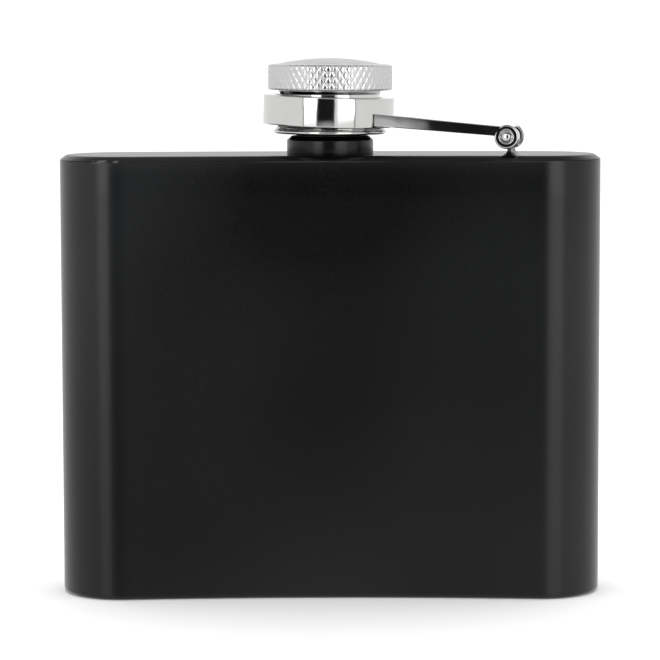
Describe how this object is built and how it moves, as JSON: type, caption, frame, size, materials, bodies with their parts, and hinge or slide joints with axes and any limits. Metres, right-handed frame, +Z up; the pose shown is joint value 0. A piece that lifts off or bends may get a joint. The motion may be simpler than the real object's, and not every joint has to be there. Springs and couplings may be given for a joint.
{
  "type": "hip flask",
  "caption": "Curved pocket flask in black-coated steel with a knurled screw cap held by a ring and a hinged arm.",
  "frame": {"origin": "middle of the bounding box's bottom face, under the neck's axis", "axes": "+Z up along the neck; +X along the body's width towards the cap's hinge; -Y is the hollow side of the body"},
  "size_m": [0.095, 0.0247, 0.0942],
  "materials": {
    "black_coat": "fine matte black powder coat",
    "polished_steel": "mirror-polished stainless steel",
    "satin_steel": "satin turned stainless steel",
    "insert_plastic": "moulded dark plastic",
    "gasket_silicone": "translucent white silicone"
  },
  "bodies": {
    "flask": {"body_wall": "black_coat", "base_plate": "black_coat", "top_plate": "black_coat", "neck_collar": "black_coat", "threaded_spout": "satin_steel", "hinge_post": "polished_steel"},
    "pin": {"hinge_pin": "polished_steel"},
    "arm": {"retaining_ring": "polished_steel", "arm_front": "polished_steel", "arm_rear": "polished_steel"},
    "seal": {"cap_gasket": "gasket_silicone"},
    "cap": {"cap_skirt": "polished_steel", "cap_knurled_ring": "satin_steel", "cap_crown": "satin_steel", "thread_insert": "insert_plastic"}
  },
  "joints": [
    {"name": "cap_swing", "type": "hinge", "parent": "flask", "child": "pin", "pos_m": [0.0311, -0.00833, 0.08065], "axis": [0.2588, 0.9659, 0], "range_deg": [0, 175]},
    {"name": "arm_follow", "type": "hinge", "parent": "pin", "child": "arm", "pos_m": [0.0311, -0.00833, 0.08065], "axis": [0.2588, 0.9659, 0], "range_deg": [0, 2.6]},
    {"name": "cap_lift", "type": "slide", "parent": "pin", "child": "seal", "axis": [0, 0, 1], "range_m": [0, 0.00128]},
    {"name": "cap_turn", "type": "hinge", "parent": "seal", "child": "cap", "pos_m": [0, 0, 0.085], "axis": [0, 0, 1], "range_deg": [0, 360]}
  ],
  "couplings": [
    {"joint": "arm_follow", "follows": "cap_turn", "ratio": 0.0071},
    {"joint": "cap_lift", "follows": "cap_turn", "m_per_rad": 0.00020213}
  ]
}
